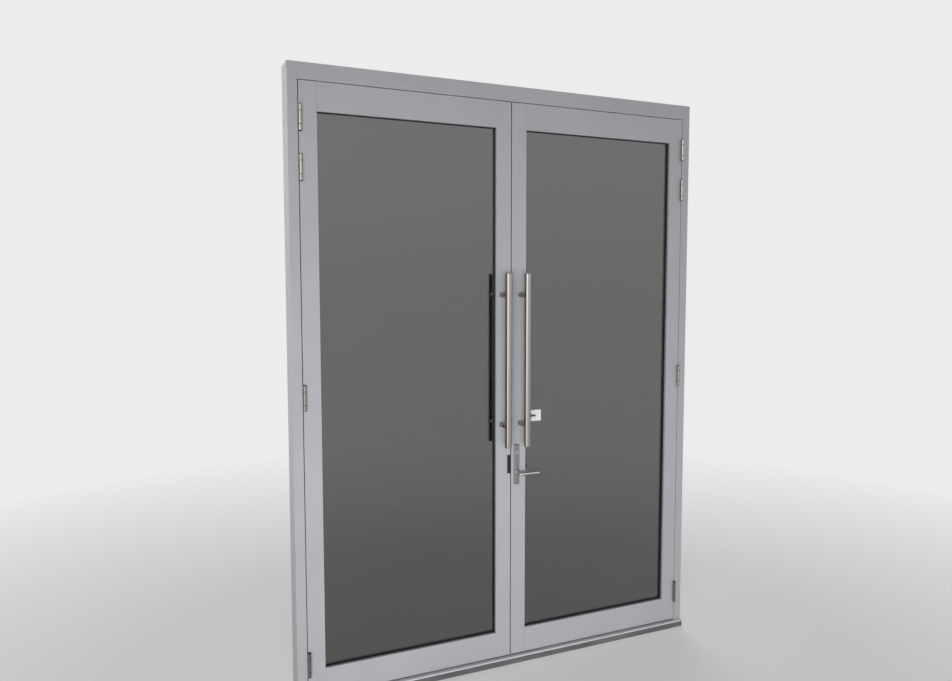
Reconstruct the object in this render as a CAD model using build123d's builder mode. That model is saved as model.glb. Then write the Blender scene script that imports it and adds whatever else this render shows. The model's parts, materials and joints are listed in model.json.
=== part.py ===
"""Aluminium-framed double glass entrance door with its own frame, millimetres, +Z up.

The origin is on the floor, at the meeting line of the two leaves, halfway through their thickness.
-Y is outside. The leaves open outward, and the part is drawn closed and unlocked.
"""
import os

from build123d import *

os.makedirs("parts", exist_ok=True)

# Leaves and the gaps around them
leaf_width = 890.0
leaf_height = 2400.0
leaf_thickness = 44.0
hinge_gap = 3.0
meeting_gap = 4.0
head_gap = 3.0
floor_gap = 6.0

# Frame
jamb_face = 39.0
head_face = 64.0
frame_depth = 100.0
stop_width = 14.0
stop_depth = 18.0
seal_depth = 6.0
seal_width = 8.0
seal_margin = 2.0
seal_play = 0.4
fixing_radius = 4.5
fixing_count = 4
fixing_from_sill = 166.0
fixing_from_head = 143.0
fixing_from_back = 18.0

# Threshold
sill_height = 34.0
sill_cover_thickness = 4.0
sill_nose_drop = 7.0
sill_nose_slope = 3.0
sill_projection = 17.0
riser_setback = 4.0
end_cap_thickness = 3.0
end_cap_plug = 8.0
end_cap_play = 0.3

# Extruded profiles
face_wall = 3.0
edge_wall = 4.0
lip_wall = 2.5
edge_round = 1.0
stile_width = 69.0
rail_width = 110.0
lip_depth = 11.0
pocket_depth = 16.0

# Glazing
glass_thickness = 10.0
glass_cover = 12.0
gasket_cover = 8.0
gasket_overhang = 0.8
bead_wall = 1.6
bead_joint = 0.2

# Butt hinges that need no recess: the door leaf nests in a window of the frame leaf
hinge_length = 100.0
hinge_thickness = 2.5
hinge_plate_depth = 32.0
hinge_back_strip = 8.0
hinge_nest_play = 1.0
middle_knuckle = 48.0
knuckle_play = 0.3
pin_radius = 4.0
pin_play = 0.05
pin_to_face = 10.0
hinge_end_offset = 139.0
hinge_pair_spacing = 185.0

# Pull bars
pull_radius = 15.0
pull_length = 738.0
pull_above_plate = 1.0
pull_from_edge = 43.0
pull_standoff = 67.0
post_radius = 12.0
post_spacing = 558.0
post_bolt_radius = 4.0
post_bolt_depth = 14.0
bolt_hole_play = 0.5
pull_end_chamfer = 1.0

# Lever set and lock
backset = 24.0
hub_height = 817.0
plate_width = 24.0
plate_height = 177.0
plate_depth = 9.0
plate_below_hub = 51.5
plate_corner = 6.0
plate_bevel = 2.0
plate_wall = 2.5
hub_radius = 9.0
hub_play = 0.05
hub_boss = 2.0
hub_stand = 4.0
lever_radius = 6.5
lever_reach = 34.0
lever_length = 92.0
lever_bend = 11.0
lever_end_bevel = 1.5
spindle_size = 8.0
spindle_in_lever = 9.0
cylinder_above_hub = 88.5
cylinder_radius = 8.5
cylinder_proud = 1.5
plug_radius = 6.0
plug_proud = 0.6
keyway_width = 2.0
keyway_height = 7.0
keyway_depth = 12.0
cam_width = 5.0
cam_length = 14.0
cam_reach = 5.3
case_thickness = 16.0
case_depth = 45.5
case_low = -28.0
case_high = 110.0
follower_play = 0.2
screw_radius = 2.5
screw_inset = 8.5
screw_post = 4.5
screw_head_radius = 4.2
forend_thickness = 2.5
forend_width = 22.0
forend_length = 208.0
slide_play = 0.2
latch_above_hub = 39.0
latch_width = 12.0
latch_height = 20.0
latch_length = 36.0
latch_bevel = 9.5
latch_bevel_length = 11.0

# Electric strike
strike_plate_length = 186.0
keeper_height = 81.2
keeper_play = 0.4
keeper_pivot_inset = 11.5
keeper_pivot_depth = 5.5
keeper_barrel = 3.8
keeper_tip_gap = 1.0
keeper_lip = 5.8
keeper_nose = 6.0
keeper_nose_gap = 4.0
keeper_pin_radius = 2.0
keeper_pin_length = 102.0
strike_depth = 40.0
strike_height = 110.0
strike_front = 18.8
strike_back = 14.0
latch_pocket = 8.5

# Flush bolts
rod_radius = 6.0
rod_play = 0.05
rod_from_edge = 16.0
bolt_throw = 18.0
bolt_slide_from_foot = 250.0
bolt_slide_from_top = 450.0
bolt_slide_height = 18.0
bolt_slide_width = 9.0
bolt_slide_sunk = 0.6
bolt_slot_width = 10.0
bolt_slot_play = 3.0
bolt_plate_thickness = 2.0
bolt_plate_width = 18.0
bolt_plate_length = 150.0
bolt_cut_width = 14.0
guide_thickness = 12.0
guide_inset = 3.0
strike_hole_play = 0.6
head_strike_length = 50.0
head_strike_width = 22.0
socket_wall = 3.5
socket_depth = 22.0

# Edge seals
brush_width = 5.0
brush_seat = 2.5
brush_play = 0.3
brush_from_face = 6.0
brush_end_gap = 3.0
meeting_seal_width = 5.0
meeting_seal_from_face = 2.0
meeting_seal_proud = 2.0
meeting_seal_end_gap = 2.0

# Planes and levels worked out from the sizes above
face_y = -leaf_thickness / 2
back_y = leaf_thickness / 2
frame_back_y = face_y + frame_depth
leaf_inner_x = meeting_gap / 2
leaf_outer_x = leaf_inner_x + leaf_width
jamb_inner_x = leaf_outer_x + hinge_gap
frame_half_width = jamb_inner_x + jamb_face
riser_y = face_y - sill_projection + riser_setback
riser_top_z = sill_height - sill_cover_thickness
leaf_bottom_z = sill_height + floor_gap
leaf_top_z = leaf_bottom_z + leaf_height
head_bottom_z = leaf_top_z + head_gap
frame_top_z = head_bottom_z + head_face
stop_front_y = back_y + seal_depth
stop_back_y = stop_front_y + stop_depth
stop_inner_x = jamb_inner_x - stop_width
stop_bottom_z = head_bottom_z - stop_width
lowest_fixing_z = sill_height + fixing_from_sill
highest_fixing_z = head_bottom_z - fixing_from_head
fixing_step = (highest_fixing_z - lowest_fixing_z) / (fixing_count - 1)
fixing_levels = [lowest_fixing_z + index * fixing_step for index in range(fixing_count)]
lip_y = face_y + lip_depth
sight_inner_x = leaf_inner_x + stile_width
sight_outer_x = leaf_outer_x - stile_width
sight_bottom_z = leaf_bottom_z + rail_width
sight_top_z = leaf_top_z - rail_width
knuckle_radius = pin_radius + hinge_thickness
pin_x = jamb_inner_x - knuckle_radius
pin_y = face_y - pin_to_face
hinge_window_y = face_y + hinge_plate_depth - hinge_back_strip
hinge_window_half = middle_knuckle / 2 + knuckle_play
hinge_levels = (
    leaf_bottom_z + hinge_end_offset,
    leaf_bottom_z + leaf_height / 2,
    leaf_top_z - hinge_end_offset - hinge_pair_spacing,
    leaf_top_z - hinge_end_offset,
)
hub_x = leaf_inner_x + backset
hub_z = leaf_bottom_z + hub_height
cylinder_z = hub_z + cylinder_above_hub
latch_z = hub_z + latch_above_hub
plate_bottom_z = hub_z - plate_below_hub
plate_top_z = plate_bottom_z + plate_height
plate_front = leaf_thickness / 2 + plate_depth
pull_x = leaf_inner_x + pull_from_edge
pull_bottom_z = plate_top_z + pull_above_plate
pull_centre_z = pull_bottom_z + pull_length / 2
post_levels = (pull_centre_z - post_spacing / 2, pull_centre_z + post_spacing / 2)
screw_levels = (plate_bottom_z + screw_inset, plate_top_z - screw_inset)
rod_x = leaf_inner_x + rod_from_edge
void_inner_x = leaf_inner_x + edge_wall
void_outer_x = sight_inner_x - pocket_depth - face_wall

LEFT = -1
RIGHT = 1
OUTSIDE = -1
INSIDE = 1


def save(piece, label):
    """Label a finished piece and write its STEP file."""
    piece.part.label = label
    export_step(piece.part, f"parts/{label}.step")


def span_box(x_span, y_span, z_span, mode=Mode.ADD):
    """Add or cut a block given by its limits along X, Y and Z."""
    spans = [sorted(span) for span in (x_span, y_span, z_span)]
    centre = tuple((low + high) / 2 for low, high in spans)
    with Locations(centre):
        Box(*(high - low for low, high in spans), mode=mode)


def leaf_face(direction, x, z, rise=0.0):
    """Plane on a leaf's outside or inside face, its normal pointing away from the leaf."""
    return Plane(
        origin=(x, direction * (back_y + rise), z),
        x_dir=(-direction, 0, 0),
        z_dir=(0, direction, 0),
    )


# Threshold
def sub_sill():
    depth = frame_back_y - riser_y
    half_length = frame_half_width - end_cap_thickness
    with BuildPart() as sill:
        with BuildSketch(Plane.YZ.offset(-half_length)):
            with Locations((riser_y + depth / 2, riser_top_z / 2)):
                Rectangle(depth, riser_top_z)
                Rectangle(depth - 2 * face_wall, riser_top_z - 2 * face_wall, mode=Mode.SUBTRACT)
        extrude(amount=2 * half_length)
        with Locations((-rod_x, 0, riser_top_z)):
            Hole(rod_radius + strike_hole_play + socket_wall, depth=face_wall)
    save(sill, "sub_sill")


def sill_end_caps():
    """Moulded caps that close the sub-sill's ends, each with a plug inside its hollow."""
    inset = face_wall + end_cap_play
    cap_x = frame_half_width - end_cap_thickness
    with BuildPart() as caps:
        for side in (LEFT, RIGHT):
            span_box((side * cap_x, side * frame_half_width), (riser_y, frame_back_y), (0, riser_top_z))
            span_box(
                (side * cap_x, side * (cap_x - end_cap_plug)),
                (riser_y + inset, frame_back_y - inset),
                (inset, riser_top_z - inset),
            )
    save(caps, "sill_end_caps")


def threshold_cover():
    with BuildPart() as cover:
        nose_y = face_y - sill_projection
        with BuildSketch(Plane.YZ.offset(-frame_half_width)):
            with BuildLine():
                Polyline(
                    (frame_back_y, riser_top_z),
                    (frame_back_y, sill_height),
                    (face_y - edge_round, sill_height),
                    (nose_y + edge_round, sill_height - sill_nose_slope / 2),
                    (nose_y, sill_height - sill_nose_slope),
                    (nose_y, sill_height - sill_nose_drop),
                    (riser_y, sill_height - sill_nose_drop),
                    (riser_y, riser_top_z),
                    close=True,
                )
            make_face()
        extrude(amount=2 * frame_half_width)
        with Locations((-rod_x, 0, sill_height)):
            Hole(rod_radius + strike_hole_play + socket_wall, depth=sill_cover_thickness)
    save(cover, "threshold_cover")


def bottom_bolt_socket():
    bore = rod_radius + strike_hole_play
    with BuildPart() as socket:
        with BuildSketch(Plane.XY.offset(sill_height - socket_depth)):
            with Locations((-rod_x, 0)):
                Circle(bore + socket_wall)
        extrude(amount=socket_depth)
        with Locations((-rod_x, 0, sill_height)):
            Hole(bore, depth=socket_depth - socket_wall)
    save(socket, "bottom_bolt_socket")


# Frame head and jambs
def jamb(side, label):
    with BuildPart() as post:
        with BuildSketch(Plane.XY.offset(sill_height)) as section:
            with BuildLine():
                Polyline(
                    (side * jamb_inner_x, face_y),
                    (side * frame_half_width, face_y),
                    (side * frame_half_width, frame_back_y),
                    (side * jamb_inner_x, frame_back_y),
                    (side * jamb_inner_x, stop_back_y),
                    (side * stop_inner_x, stop_back_y),
                    (side * stop_inner_x, stop_front_y),
                    (side * jamb_inner_x, stop_front_y),
                    close=True,
                )
            make_face()
            fillet(section.vertices().group_by(Axis.Y)[0], edge_round)
            cell_x = (jamb_inner_x + edge_wall + frame_half_width - face_wall) / 2
            with Locations((side * cell_x, face_y + frame_depth / 2)):
                Rectangle(jamb_face - edge_wall - face_wall, frame_depth - 2 * face_wall, mode=Mode.SUBTRACT)
        extrude(amount=frame_top_z - sill_height)
        span_box(
            (side * stop_inner_x, side * jamb_inner_x),
            (stop_front_y, stop_back_y),
            (head_bottom_z, frame_top_z),
            mode=Mode.SUBTRACT,
        )
        for level in fixing_levels:
            outer_face = Plane(
                origin=(side * frame_half_width, frame_back_y - fixing_from_back, level),
                z_dir=(side, 0, 0),
            )
            with Locations(outer_face):
                Hole(fixing_radius, depth=jamb_face)
    save(post, label)


def head():
    """Hollow beam between the jambs, which run past its ends."""
    with BuildPart() as beam:
        with BuildSketch(Plane.YZ.offset(-jamb_inner_x)) as section:
            with Locations((face_y + frame_depth / 2, head_bottom_z + head_face / 2)):
                Rectangle(frame_depth, head_face)
            fillet(section.vertices().group_by(Axis.X)[0], edge_round)
            cell_z = (head_bottom_z + edge_wall + frame_top_z - face_wall) / 2
            with Locations((face_y + frame_depth / 2, cell_z)):
                Rectangle(frame_depth - 2 * face_wall, head_face - edge_wall - face_wall, mode=Mode.SUBTRACT)
        extrude(amount=2 * jamb_inner_x)
        span_box((-stop_inner_x, stop_inner_x), (stop_front_y, stop_back_y), (stop_bottom_z, head_bottom_z))
        span_box(
            (-rod_x - head_strike_length / 2, -rod_x + head_strike_length / 2),
            (-head_strike_width / 2, head_strike_width / 2),
            (head_bottom_z, head_bottom_z + bolt_plate_thickness),
            mode=Mode.SUBTRACT,
        )
        with Locations((-rod_x, 0, head_bottom_z + edge_wall)):
            Hole(rod_radius + strike_hole_play, depth=edge_wall)
    save(beam, "head")


def top_bolt_strike():
    with BuildPart() as plate:
        span_box(
            (-rod_x - head_strike_length / 2, -rod_x + head_strike_length / 2),
            (-head_strike_width / 2, head_strike_width / 2),
            (head_bottom_z, head_bottom_z + bolt_plate_thickness),
        )
        with Locations((-rod_x, 0, head_bottom_z + bolt_plate_thickness)):
            Hole(rod_radius + strike_hole_play, depth=bolt_plate_thickness)
    save(plate, "top_bolt_strike")


def frame_seal():
    inner_x = stop_inner_x + seal_margin
    outer_x = inner_x + seal_width
    low_z = stop_bottom_z + seal_margin
    bulb_depth = seal_depth - seal_play
    with BuildPart() as seal:
        for side in (LEFT, RIGHT):
            with BuildSketch(Plane.XY.offset(sill_height)) as section:
                with Locations((side * (inner_x + outer_x) / 2, stop_front_y - bulb_depth / 2)):
                    Rectangle(seal_width, bulb_depth)
                fillet(section.vertices().group_by(Axis.Y)[0], bulb_depth / 2)
            extrude(amount=low_z - sill_height)
        with BuildSketch(Plane.YZ.offset(-outer_x)) as section:
            with Locations((stop_front_y - bulb_depth / 2, low_z + seal_width / 2)):
                Rectangle(bulb_depth, seal_width)
            fillet(section.vertices().group_by(Axis.X)[0], bulb_depth / 2)
        extrude(amount=2 * outer_x)
    save(seal, "frame_seal")


# Butt hinges: the frame leaf has the end knuckles and the door leaf the middle one
def hinge_knuckle(side, plate_x, bore, low_z, height):
    """One knuckle with the neck of the plate whose outer side is at plate_x."""
    with BuildSketch(Plane.XY.offset(low_z)) as section:
        with Locations((side * pin_x, pin_y)):
            Circle(knuckle_radius)
        with Locations((side * (plate_x - hinge_thickness / 2), (pin_y + face_y) / 2)):
            Rectangle(hinge_thickness, pin_to_face)
        with Locations((side * pin_x, pin_y)):
            Circle(bore, mode=Mode.SUBTRACT)
    extrude(section.sketch, amount=height)


def hinge_frame_leaves(side, label):
    half = hinge_length / 2
    end_knuckle = half - hinge_window_half
    with BuildPart() as leaves:
        for level in hinge_levels:
            x_span = (side * (jamb_inner_x - hinge_thickness), side * jamb_inner_x)
            span_box(x_span, (face_y, face_y + hinge_plate_depth), (level - half, level + half))
            span_box(
                x_span,
                (face_y, hinge_window_y),
                (level - hinge_window_half, level + hinge_window_half),
                mode=Mode.SUBTRACT,
            )
            for low_z in (level - half, level + half - end_knuckle):
                hinge_knuckle(side, jamb_inner_x, pin_radius, low_z, end_knuckle)
    save(leaves, label)


def hinge_door_leaves(side, label):
    plate_x = leaf_outer_x + hinge_thickness
    with BuildPart() as leaves:
        for level in hinge_levels:
            low_z = level - middle_knuckle / 2
            span_box(
                (side * leaf_outer_x, side * plate_x),
                (face_y, hinge_window_y - hinge_nest_play),
                (low_z, low_z + middle_knuckle),
            )
            hinge_knuckle(side, plate_x, pin_radius + pin_play, low_z, middle_knuckle)
    save(leaves, label)


def hinge_pins(side, label):
    with BuildPart() as pins:
        for level in hinge_levels:
            with BuildSketch(Plane.XY.offset(level - hinge_length / 2)):
                with Locations((side * pin_x, pin_y)):
                    Circle(pin_radius)
            extrude(amount=hinge_length)
    save(pins, label)


# Leaf profiles
def profile_outline(width, across):
    """Section of a stile or rail: a face lip in front of the glass and a glazing pocket behind it.

    across turns a distance from the leaf's edge into the sketch's own point.
    """
    with BuildLine() as outline:
        Polyline(
            across(0, face_y),
            across(width, face_y),
            across(width, lip_y),
            across(width - pocket_depth, lip_y),
            across(width - pocket_depth, back_y),
            across(0, back_y),
            close=True,
        )
    make_face(outline.edges())


def profile_cells(width, across, swap):
    """Hollow cell of the tube and the small one in the lip."""
    cell = width - pocket_depth - face_wall - edge_wall
    size = (cell, leaf_thickness - 2 * face_wall)
    with Locations(across(edge_wall + cell / 2, 0)):
        Rectangle(*(size[::-1] if swap else size), mode=Mode.SUBTRACT)
    size = (pocket_depth - 2 * lip_wall, lip_depth - 2 * lip_wall)
    with Locations(across(width - pocket_depth / 2, (face_y + lip_y) / 2)):
        Rectangle(*(size[::-1] if swap else size), mode=Mode.SUBTRACT)


def stile_blank(side, edge_x, inward):
    """Full-height stile; inward is +1 where the glass lies at larger distances from the meeting line."""
    def across(distance, y):
        return (side * (edge_x + inward * distance), y)

    with BuildSketch(Plane.XY.offset(leaf_bottom_z)) as section:
        profile_outline(stile_width, across)
        fillet(section.vertices().group_by(Axis.Y)[0], edge_round)
        profile_cells(stile_width, across, swap=False)
    extrude(section.sketch, amount=leaf_height)


def hinge_stile(side, label):
    with BuildPart() as stile:
        stile_blank(side, leaf_outer_x, -1)
    save(stile, label)


def pull_bolt_holes(side):
    with Locations(*[leaf_face(OUTSIDE, side * pull_x, level) for level in post_levels]):
        Hole(post_bolt_radius + bolt_hole_play, depth=leaf_thickness)


def right_meeting_stile():
    edge = leaf_inner_x
    with BuildPart() as stile:
        stile_blank(RIGHT, leaf_inner_x, 1)
        pull_bolt_holes(RIGHT)
        span_box(
            (edge, edge + forend_thickness),
            (-forend_width / 2, forend_width / 2),
            (latch_z - forend_length / 2, latch_z + forend_length / 2),
            mode=Mode.SUBTRACT,
        )
        half_case = case_thickness / 2 + slide_play
        span_box(
            (edge, void_inner_x),
            (-half_case, half_case),
            (hub_z + case_low - slide_play, hub_z + case_high + slide_play),
            mode=Mode.SUBTRACT,
        )
        slot_length = screw_levels[1] - screw_levels[0] + 2 * screw_post
        with BuildSketch(leaf_face(OUTSIDE, hub_x, (plate_bottom_z + plate_top_z) / 2)):
            SlotOverall(slot_length, 2 * (cylinder_radius + slide_play), rotation=90)
        extrude(amount=-leaf_thickness, mode=Mode.SUBTRACT)
        seal_y = face_y + meeting_seal_from_face
        span_box(
            (edge, edge + brush_seat),
            (seal_y, seal_y + meeting_seal_width),
            (leaf_bottom_z, leaf_top_z),
            mode=Mode.SUBTRACT,
        )
    save(stile, "right_meeting_stile")


def flush_bolt_levels():
    """Each flush bolt's slide level, the way it is thrown, and the leaf end that it leaves by."""
    return (
        (leaf_bottom_z + bolt_slide_from_foot, -1, leaf_bottom_z),
        (leaf_top_z - bolt_slide_from_top, 1, leaf_top_z),
    )


def left_meeting_stile():
    edge = -leaf_inner_x
    half_keeper = keeper_height / 2 + keeper_play
    with BuildPart() as stile:
        stile_blank(LEFT, leaf_inner_x, 1)
        pull_bolt_holes(LEFT)
        span_box(
            (edge - keeper_pivot_inset - keeper_barrel - keeper_play, edge),
            (face_y, latch_pocket),
            (latch_z - half_keeper, latch_z + half_keeper),
            mode=Mode.SUBTRACT,
        )
        span_box(
            (edge, edge - forend_thickness),
            (-forend_width / 2, forend_width / 2),
            (latch_z - strike_plate_length / 2, latch_z + strike_plate_length / 2),
            mode=Mode.SUBTRACT,
        )
        for level, throw, _ in flush_bolt_levels():
            span_box(
                (edge, edge - bolt_plate_thickness),
                (-bolt_plate_width / 2, bolt_plate_width / 2),
                (level - bolt_plate_length / 2, level + bolt_plate_length / 2),
                mode=Mode.SUBTRACT,
            )
            reach = bolt_slide_height / 2 + 2 * bolt_slot_play
            span_box(
                (edge, -void_inner_x),
                (-bolt_cut_width / 2, bolt_cut_width / 2),
                (level - throw * reach, level + throw * (reach + bolt_throw)),
                mode=Mode.SUBTRACT,
            )
    save(stile, "left_meeting_stile")


def rail(side, edge_z, inward, label):
    """Rail between the stiles, notched at both ends to pass behind their lips."""
    low_x = sight_inner_x - pocket_depth
    high_x = sight_outer_x + pocket_depth

    def across(distance, y):
        return (y, edge_z + inward * distance)

    with BuildPart() as beam:
        start_x = low_x if side == RIGHT else -high_x
        with BuildSketch(Plane.YZ.offset(start_x)):
            profile_outline(rail_width, across)
            profile_cells(rail_width, across, swap=True)
        extrude(amount=high_x - low_x)
        z_span = (edge_z, edge_z + inward * rail_width)
        span_box((side * low_x, side * sight_inner_x), (face_y, lip_y), z_span, mode=Mode.SUBTRACT)
        span_box((side * high_x, side * sight_outer_x), (face_y, lip_y), z_span, mode=Mode.SUBTRACT)
        if inward > 0:
            brush_y = face_y + brush_from_face
            span_box(
                (side * low_x, side * high_x),
                (brush_y, brush_y + brush_width),
                (edge_z, edge_z + brush_seat),
                mode=Mode.SUBTRACT,
            )
    save(beam, label)


# Glazing
def pane_ring(side, reach, overhang):
    """Rectangular ring round the sight opening, reaching into the pocket and over the sight line."""
    centre = (side * (sight_inner_x + sight_outer_x) / 2, (sight_bottom_z + sight_top_z) / 2)
    width = sight_outer_x - sight_inner_x
    height = sight_top_z - sight_bottom_z
    with Locations(centre):
        Rectangle(width + 2 * reach, height + 2 * reach)
        Rectangle(width - 2 * overhang, height - 2 * overhang, mode=Mode.SUBTRACT)


def glass(side, label):
    with BuildPart() as pane:
        span_box(
            (side * (sight_inner_x - glass_cover), side * (sight_outer_x + glass_cover)),
            (-glass_thickness / 2, glass_thickness / 2),
            (sight_bottom_z - glass_cover, sight_top_z + glass_cover),
        )
    save(pane, label)


def gasket(side, direction, label):
    near = glass_thickness / 2
    far = leaf_thickness / 2 - lip_depth
    with BuildPart() as strip:
        with BuildSketch(Plane.XZ.offset(-direction * near)):
            pane_ring(side, gasket_cover, gasket_overhang)
        extrude(amount=-direction * (far - near))
        inner_loop = strip.faces().sort_by(Axis.Y)[0 if direction == OUTSIDE else -1].inner_wires()[0]
        chamfer(inner_loop.edges(), gasket_overhang)
    save(strip, label)


def bead_channel(plane, centre, size, open_side, length):
    """One snap-in bead: a channel whose open side faces the pocket."""
    with BuildSketch(plane) as section:
        with Locations(centre):
            Rectangle(*size)
        cell = [extent - 2 * bead_wall for extent in size]
        shift = [0.0, 0.0]
        axis = 0 if open_side[0] else 1
        cell[axis] += bead_wall
        shift[axis] = open_side[axis] * bead_wall / 2
        with Locations((centre[0] + shift[0], centre[1] + shift[1])):
            Rectangle(*cell, mode=Mode.SUBTRACT)
    extrude(section.sketch, amount=length)


def glazing_beads(side, label):
    bead_y = back_y - lip_depth / 2
    low_z = sight_bottom_z - pocket_depth
    high_z = sight_top_z + pocket_depth
    width = sight_outer_x - sight_inner_x - 2 * bead_joint
    start_x = (sight_inner_x if side == RIGHT else -sight_outer_x) + bead_joint
    with BuildPart() as beads:
        for sight_x, away in ((sight_inner_x, -1), (sight_outer_x, 1)):
            centre = (side * (sight_x + away * pocket_depth / 2), bead_y)
            size = (pocket_depth, lip_depth)
            bead_channel(Plane.XY.offset(low_z), centre, size, (side * away, 0), high_z - low_z)
        for sight_z, away in ((sight_bottom_z, -1), (sight_top_z, 1)):
            centre = (bead_y, sight_z + away * pocket_depth / 2)
            size = (lip_depth, pocket_depth)
            bead_channel(Plane.YZ.offset(start_x), centre, size, (0, away), width)
    save(beads, label)


# Seals on the leaves
def bottom_brush(side, label):
    brush_y = face_y + brush_from_face
    with BuildPart() as brush:
        span_box(
            (side * (leaf_inner_x + brush_end_gap), side * (leaf_outer_x - brush_end_gap)),
            (brush_y, brush_y + brush_width),
            (sill_height + brush_play, leaf_bottom_z),
        )
        span_box(
            (side * sight_inner_x, side * sight_outer_x),
            (brush_y, brush_y + brush_width),
            (leaf_bottom_z, leaf_bottom_z + brush_seat),
        )
    save(brush, label)


def meeting_seal():
    seal_y = face_y + meeting_seal_from_face
    with BuildPart() as seal:
        span_box(
            (leaf_inner_x - meeting_seal_proud, leaf_inner_x + brush_seat),
            (seal_y, seal_y + meeting_seal_width),
            (leaf_bottom_z + meeting_seal_end_gap, leaf_top_z - meeting_seal_end_gap),
        )
    save(seal, "meeting_seal")


# Pull bars
def pull_bar(side, direction, label):
    with BuildPart() as pull:
        with BuildSketch(Plane.XY.offset(pull_bottom_z)):
            with Locations((side * pull_x, direction * (back_y + pull_standoff))):
                Circle(pull_radius)
        extrude(amount=pull_length)
        chamfer(pull.edges().filter_by(GeomType.CIRCLE), pull_end_chamfer)
        for level in post_levels:
            with BuildSketch(leaf_face(direction, side * pull_x, level)):
                Circle(post_radius)
            extrude(amount=pull_standoff)
        for level in post_levels:
            with BuildSketch(leaf_face(direction, side * pull_x, level)):
                Circle(post_bolt_radius)
            extrude(amount=post_bolt_depth, mode=Mode.SUBTRACT)
    save(pull, label)


def pull_bolts(side, label):
    """Threaded rods that pass through the stile and clamp the two bars against it."""
    with BuildPart() as bolts:
        for level in post_levels:
            with BuildSketch(leaf_face(OUTSIDE, side * pull_x, level, post_bolt_depth)):
                Circle(post_bolt_radius)
            extrude(amount=-(leaf_thickness + 2 * post_bolt_depth))
    save(bolts, label)


# Lever set
def lever_plate(direction, label):
    """Cover plate whose back is hollow between solid bands at the screws, the hub and the cylinder."""
    middle_z = (plate_bottom_z + plate_top_z) / 2
    base = leaf_face(direction, hub_x, middle_z)
    pocket_half = plate_width / 2 - plate_wall
    bands = (
        (screw_levels[0], screw_post),
        (hub_z, hub_radius + hub_boss),
        (cylinder_z, cylinder_radius + hub_boss),
        (screw_levels[1], screw_post),
    )
    with BuildPart() as plate:
        with BuildSketch(base):
            RectangleRounded(plate_width, plate_height, plate_corner)
        extrude(amount=plate_depth)
        front = plate.faces().sort_by(Axis.Y)[-1 if direction == INSIDE else 0]
        chamfer(front.edges(), plate_bevel)
        for (low_z, low_reach), (high_z, high_reach) in zip(bands, bands[1:]):
            span_box(
                (hub_x - pocket_half, hub_x + pocket_half),
                (direction * back_y, direction * (back_y + plate_depth - plate_wall)),
                (low_z + low_reach, high_z - high_reach),
                mode=Mode.SUBTRACT,
            )
        with BuildSketch(base):
            with Locations((0, hub_z - middle_z)):
                Circle(hub_radius + hub_play)
        extrude(amount=plate_depth, mode=Mode.SUBTRACT)
        if direction == OUTSIDE:
            with BuildSketch(base):
                with Locations((0, cylinder_z - middle_z)):
                    Circle(cylinder_radius)
            extrude(amount=plate_depth, mode=Mode.SUBTRACT)
            with BuildSketch(base):
                with Locations(*[(0, level - middle_z) for level in screw_levels]):
                    Circle(screw_radius)
            extrude(amount=plate_depth - plate_wall, mode=Mode.SUBTRACT)
        else:
            with Locations(*[leaf_face(direction, hub_x, level, plate_depth) for level in screw_levels]):
                CounterSinkHole(screw_radius, screw_head_radius, depth=plate_depth)
    save(plate, label)


def plate_screws():
    """Countersunk screws from the inside plate into the outside one."""
    tip = leaf_thickness / 2 + plate_depth - plate_wall
    length = plate_front + tip
    with BuildPart() as screws:
        for level in screw_levels:
            with BuildSketch(leaf_face(OUTSIDE, hub_x, level, tip - leaf_thickness / 2)):
                Circle(screw_radius)
            extrude(amount=-length)
            cone_depth = screw_head_radius - screw_radius
            with BuildSketch(leaf_face(INSIDE, hub_x, level, plate_depth)):
                Circle(screw_head_radius)
            with BuildSketch(leaf_face(INSIDE, hub_x, level, plate_depth - cone_depth)):
                Circle(screw_radius)
            loft()
    save(screws, "lever_plate_screws")


def lever(direction, label):
    """Round lever: a hub in the plate, a neck straight out of it, a tight bend and the grip."""
    hub_base = plate_front - plate_depth + hub_boss
    hub_top = plate_front + hub_stand
    grip_y = plate_front + lever_reach
    bend_y = grip_y - lever_bend
    with BuildPart() as handle:
        with BuildSketch(leaf_face(direction, hub_x, hub_z, hub_base - back_y)):
            Circle(hub_radius)
        extrude(amount=hub_top - hub_base)
        with BuildSketch(leaf_face(direction, hub_x, hub_z, hub_top - back_y)):
            Circle(lever_radius)
        extrude(amount=bend_y - hub_top)
        with BuildSketch(leaf_face(direction, hub_x, hub_z, bend_y - back_y)):
            Circle(lever_radius)
        bend_axis = Axis((hub_x + lever_bend, direction * bend_y, hub_z), (0, 0, -direction))
        revolve(axis=bend_axis, revolution_arc=90)
        with BuildSketch(Plane(origin=(hub_x + lever_bend, direction * grip_y, hub_z), z_dir=(1, 0, 0))):
            Circle(lever_radius)
        extrude(amount=lever_length - lever_bend)
        tip = handle.faces().sort_by(Axis.X)[-1]
        chamfer(tip.edges(), lever_end_bevel)
        with BuildSketch(leaf_face(direction, hub_x, hub_z, hub_base - back_y)):
            Rectangle(spindle_size, spindle_size)
        extrude(amount=spindle_in_lever, mode=Mode.SUBTRACT)
    save(handle, label)


def spindle():
    reach = plate_front - plate_depth + hub_boss + spindle_in_lever
    with BuildPart() as bar:
        with Locations((hub_x, 0, hub_z)):
            Box(spindle_size, 2 * reach, spindle_size)
    save(bar, "lever_spindle")


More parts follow.
